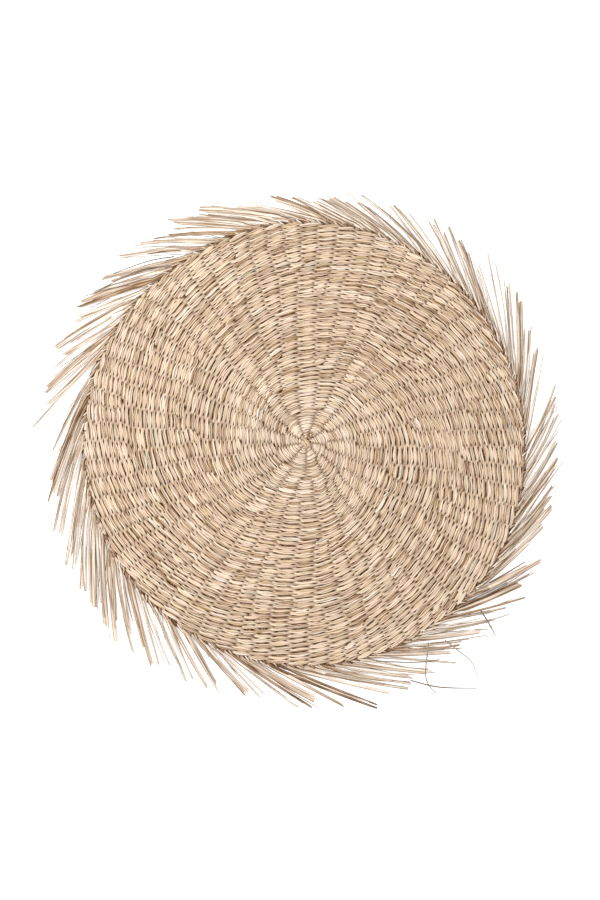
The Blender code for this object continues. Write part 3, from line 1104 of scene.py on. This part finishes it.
edge = []
for end in range(STAKE_ENDS):
    degrees = (end + 0.4) * 360 / STAKE_ENDS + blade_rng.normal(0, 0.2)
    loop = [
        round_the_rim(degrees - 0.2, -1.2 * MM, 3.4 * MM),
        round_the_rim(degrees + 0.2, -0.2 * MM, 5.2 * MM),
        round_the_rim(degrees + 0.8, 1.2 * MM, 5.4 * MM),
        round_the_rim(degrees + 1.3, 2.9 * MM, 3.0 * MM),
    ]
    edge.append(edge_strand(loop, 10, blade_rng.uniform(0.5, 0.8) * MM, leaf_tone(0.55)))
BROWN_EDGE = range(-15, 27, 3)
brown_edge = [round_the_rim(d, (0.6 + 0.4 * math.sin(d)) * MM, 5.2 * MM) for d in BROWN_EDGE]
edge.append(edge_strand(brown_edge, 60, 0.8 * MM, 0.06))
# The tucked ends keep tone 0, the darkest brown: painted shade in the notches under the loops.
tucked_ends_painted_shade = [round_the_rim(degrees, 0.6 * MM, 2.2 * MM) for degrees in np.linspace(0, 361, 300)]
edge.append({"points": np.array(tucked_ends_painted_shade), "half_width": 2.4 * MM, "half_thickness": 0.9 * MM, "shift": 950.0})
blades = rails("fringe_rails", main_leaves + edge + second_leaves)
fringe = grow(blades, "border_and_fringe", plain_sweep, {"Sides": 8}, split_seagrass)
hairs = grow(rails("hair_rails", hair_courses), "fringe_hairs", plain_sweep, {"Sides": 4}, hair_seagrass)

# %% [markdown]
# ## Stray hairs and spliced ends
#
# A few thin slivers of leaf have worked loose and lie across the fringe. In the field a short end sticks out
# wherever the maker spliced a new leaf into a weft. Both are small, but they break up a pattern that would
# otherwise look machine-made. The loose ones are few and each has its own bend, so their places are given
# one by one, in millimetres from the hub. The spliced ends are strewn by chance.

# %% Lay the loose slivers
sliver_rng = np.random.default_rng(59)
STRAY_HAIRS = (
    ((103, -168), (104, -205), (111, -212)),
    ((88, -200), (107, -205), (144, -207)),
    ((117, -166), (127, -174), (139, -184), (146, -200)),
    ((147, -141), (153, -150), (160, -163)),
    ((59, -184), (103, -184), (115, -182)),
    ((-111, 157), (-126, 155), (-163, 143)),
    ((-115, 149), (-130, 148), (-176, 129)),
    ((172, 80), (167, 139)),
)
SPLICED_ENDS = 30


def sliver(places, half_width, tone):
    """A thin loose piece of leaf through these places."""
    points = smooth_through(places, 12)
    narrowed = 1 - 0.5 * np.linspace(0, 1, 12) ** 3
    return {
        "points": points,
        "half_width": half_width * narrowed,
        "half_thickness": 0.22 * MM,
        "tone": tone,
        "shift": sliver_rng.uniform(1600, 1900),
    }


strays, spliced = [], []
for hair in STRAY_HAIRS:
    heights = np.linspace(5.4, 2.4, len(hair)) if len(hair) > 2 else (5.6, 4.0)
    places = [(x * MM, y * MM, z * MM) for (x, y), z in zip(hair, heights)]
    strays.append(sliver(places, sliver_rng.uniform(0.55, 0.7) * MM, sliver_rng.uniform(0, 0.8)))
for _ in range(SPLICED_ENDS):
    radius, turn = 172 * MM * math.sqrt(sliver_rng.uniform(0.02, 1)), sliver_rng.uniform(0, 2 * math.pi)
    start = np.array((radius * math.cos(turn), radius * math.sin(turn), 4.9 * MM))
    lean = turn + math.pi / 2 * sliver_rng.choice((-1, 1)) + sliver_rng.normal(0, 0.5)
    ahead = np.array((math.cos(lean), math.sin(lean), 0)) * sliver_rng.uniform(5, 9) * MM
    places = [start, start + 0.5 * ahead + (0, 0, 0.9 * MM), start + ahead + (0, 0, 1.1 * MM)]
    half_width = sliver_rng.uniform(0.5, 0.85) * MM
    spliced.append(sliver(places, half_width, sliver_rng.choice((0.02, 0.5, 0.95, 1.0))))
six_sided = {"Sides": 6}
stray_piece = grow(rails("stray_rails", strays), "stray_hairs", plain_sweep, six_sided, hair_seagrass)
spliced_piece = grow(rails("spliced_rails", spliced), "spliced_ends", plain_sweep, six_sided, split_seagrass)

# %% [markdown]
# ## Camera
#
# The picture was taken from straight above, from far enough that the mat shows no perspective to speak of.
# The scale fixes the camera: the border's outer edge is 225 pixels from the hub, and 190 mm on the mat. From
# that follow the lens for a given height and how far the camera stands beside the hub.

# %% Camera
SENSOR = 36.0
CAMERA_HEIGHT = 2.4
PICTURE_WIDTH, PICTURE_HEIGHT = 600, 900
HUB_X, HUB_Y = 306, 443
PIXEL = 190 * MM / 225

camera_data = bpy.data.cameras.new("camera")
camera_data.sensor_width = SENSOR
camera_data.lens = SENSOR * CAMERA_HEIGHT / (PICTURE_HEIGHT * PIXEL)
camera = bpy.data.objects.new("camera", camera_data)
camera.location = ((PICTURE_WIDTH / 2 - HUB_X) * PIXEL, (HUB_Y - PICTURE_HEIGHT / 2) * PIXEL, CAMERA_HEIGHT)
bpy.context.scene.collection.objects.link(camera)
bpy.context.scene.camera = camera
print(f"camera {CAMERA_HEIGHT} m up, {camera_data.lens:.0f} mm lens")

# %% [markdown]
# ## Floor and light
#
# The mat lies on a white card, as products are often pictured. The card glows: painted light that washes out
# the shadows beside the fringe, as if the card were lit from behind. Under the mat the glow is turned down,
# or it would fill the gaps of the weave. A large soft light from the left shows the relief of the stitches,
# and a weak one from the right keeps the other side open. Only the white of the surroundings does the rest.

# %% White card with a painted glow, and soft light
FLOOR_HALF = 12
DARK_UNDER_MAT = 0.178
PAINTED_GLOW_FROM = 0.182
SURROUNDINGS_STRENGTH = 0.78

floor_mesh = bpy.data.meshes.new("floor")
square = [(x * FLOOR_HALF, y * FLOOR_HALF, 0) for x, y in ((-1, -1), (1, -1), (1, 1), (-1, 1))]
floor_mesh.from_pydata(square, [], [(0, 1, 2, 3)])
floor = bpy.data.objects.new("floor", floor_mesh)
floor.location.z = -0.2 * MM
bpy.context.scene.collection.objects.link(floor)
paint = bpy.data.materials.new("white_card_painted_glow")
paint.use_nodes = True
card_nodes = paint.node_tree
card = card_nodes.nodes["Principled BSDF"]
card.inputs["Base Color"].default_value = linear("f4f4f4")
card.inputs["Roughness"].default_value = 0.9
card.inputs["Emission Color"].default_value = linear("ffffff")
# Painted light: outside the mat the card glows, which washes out the shadows beside the fringe. Under the mat
# it stays dark.
spot = add(card_nodes, "ShaderNodeTexCoord").outputs["Object"]
from_hub = add(card_nodes, "ShaderNodeVectorMath", {0: spot}, operation="LENGTH").outputs["Value"]
edges = {0: from_hub, 1: DARK_UNDER_MAT, 2: PAINTED_GLOW_FROM, 3: 0.02, 4: 0.5}
painted_glow = add(card_nodes, "ShaderNodeMapRange", edges).outputs[0]
card_nodes.links.new(painted_glow, card.inputs["Emission Strength"])
floor_mesh.materials.append(paint)

world = bpy.data.worlds.new("studio")
world.use_nodes = True
surroundings = world.node_tree.nodes["Background"].inputs
surroundings["Color"].default_value = linear("ffffff")
surroundings["Strength"].default_value = SURROUNDINGS_STRENGTH
bpy.context.scene.world = world


def softbox(name, place, size, watts):
    """A square light that looks at the mat."""
    data = bpy.data.lights.new(name, "AREA")
    data.size = size
    data.energy = watts
    lamp = bpy.data.objects.new(name, data)
    lamp.location = place
    lamp.rotation_euler = (-lamp.location).to_track_quat("-Z", "Y").to_euler()
    bpy.context.scene.collection.objects.link(lamp)
    print(f"{name}: {size} m wide, {watts} W, {lamp.location.length:.1f} m from the hub")


softbox("key_from_left", (-1.7, 0.35, 1.45), 0.9, 58)
softbox("fill_from_right", (1.6, 0.2, 1.6), 1.4, 8)
bpy.context.scene.view_settings.view_transform = "Standard"

# %% [markdown]
# ## What stands for what
#
# The solid model has two nodes, the woven disc and the border with its fringe. Each is replaced by the pieces
# above. The mat lies on the table as one body, so every piece rides on the root.

# %% Tell the frame what stands for what
woven = [*wefts, stake_piece, hub_piece]
for piece in woven:
    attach(piece, "root")
for piece in (fringe, hairs, stray_piece, spliced_piece):
    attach(piece, "root")
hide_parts("woven_disc")
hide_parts("border_fringe")
